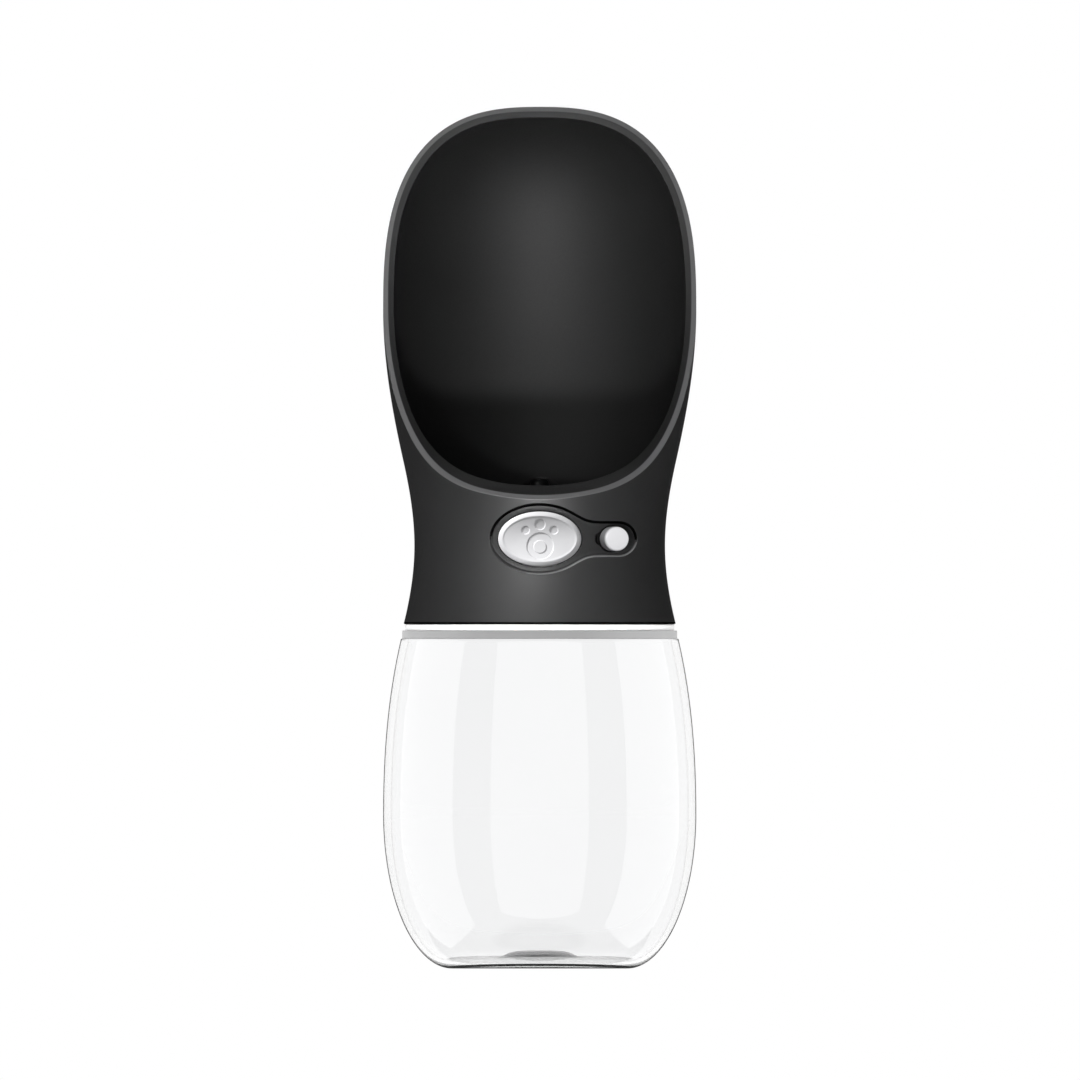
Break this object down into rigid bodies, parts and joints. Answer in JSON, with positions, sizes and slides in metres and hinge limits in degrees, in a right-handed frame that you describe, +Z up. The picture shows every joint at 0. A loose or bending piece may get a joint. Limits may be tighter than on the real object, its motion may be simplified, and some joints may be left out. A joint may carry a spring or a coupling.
{
  "type": "dog travel water bottle",
  "caption": "Travel drinking bottle for a dog: a clear bottle screwed into a black head with a tall oval trough, a push-button water valve and a sliding lock.",
  "frame": {"origin": "middle of the bottle's base, on the surface that it stands on", "axes": "+Z up along the bottle's axis; the button, the lock and the trough's opening face -Y; +X is to the right seen from the front"},
  "size_m": [0.0752, 0.0752, 0.2068],
  "materials": {
    "clear_bottle": "clear, polished",
    "black_head": "satin, moulded",
    "white_silicone": "matte silicone",
    "grey_rubber": "matte",
    "white_key": "satin gloss",
    "white_works": "moulded",
    "dark_spout": "satin gloss, moulded",
    "stainless": "drawn wire and turned stem",
    "black_trim": "moulded"
  },
  "bodies": {
    "bottle": {"bottle": "clear_bottle"},
    "gasket": {"neck_gasket": "white_silicone"},
    "head": {"head_shell": "black_head", "strap_lug": "black_head", "valve_body": "white_works", "base_o_ring": "grey_rubber", "retaining_ring": "stainless", "outlet_spout": "dark_spout", "outlet_grommet": "grey_rubber", "barrel_plug": "white_works", "barrel_plug_o_ring": "grey_rubber", "stem_gland": "white_works", "stem_seal": "grey_rubber", "lock_keeper": "white_works", "keeper_screws": "stainless", "return_spring": "stainless"},
    "button": {"button_cap": "white_key", "plunger_stem": "stainless", "valve_plug": "grey_rubber", "spring_washer": "stainless", "stem_clip": "stainless"},
    "lock": {"lock_knob": "white_key", "lock_slider": "black_trim"}
  },
  "joints": [
    {"name": "head_rise", "type": "slide", "parent": "bottle", "child": "gasket", "axis": [0, 0, 1], "range_m": [0, 0.012]},
    {"name": "head_turn", "type": "hinge", "parent": "gasket", "child": "head", "pos_m": [0, 0, 0.0865], "axis": [0, 0, 1], "range_deg": [0, 360]},
    {"name": "button_press", "type": "slide", "parent": "head", "child": "button", "axis": [0, 1, 0], "range_m": [0, 0.003], "stiffness_N_per_m": 400, "springref_m": -0.004, "deforming": ["return_spring"]},
    {"name": "lock_slide", "type": "hinge", "parent": "head", "child": "lock", "pos_m": [0, 0, 0.1031], "axis": [0, 0, -1], "range_deg": [0, 6]}
  ],
  "couplings": [
    {"joint": "head_rise", "follows": "head_turn", "m_per_rad": 0.0019098}
  ]
}
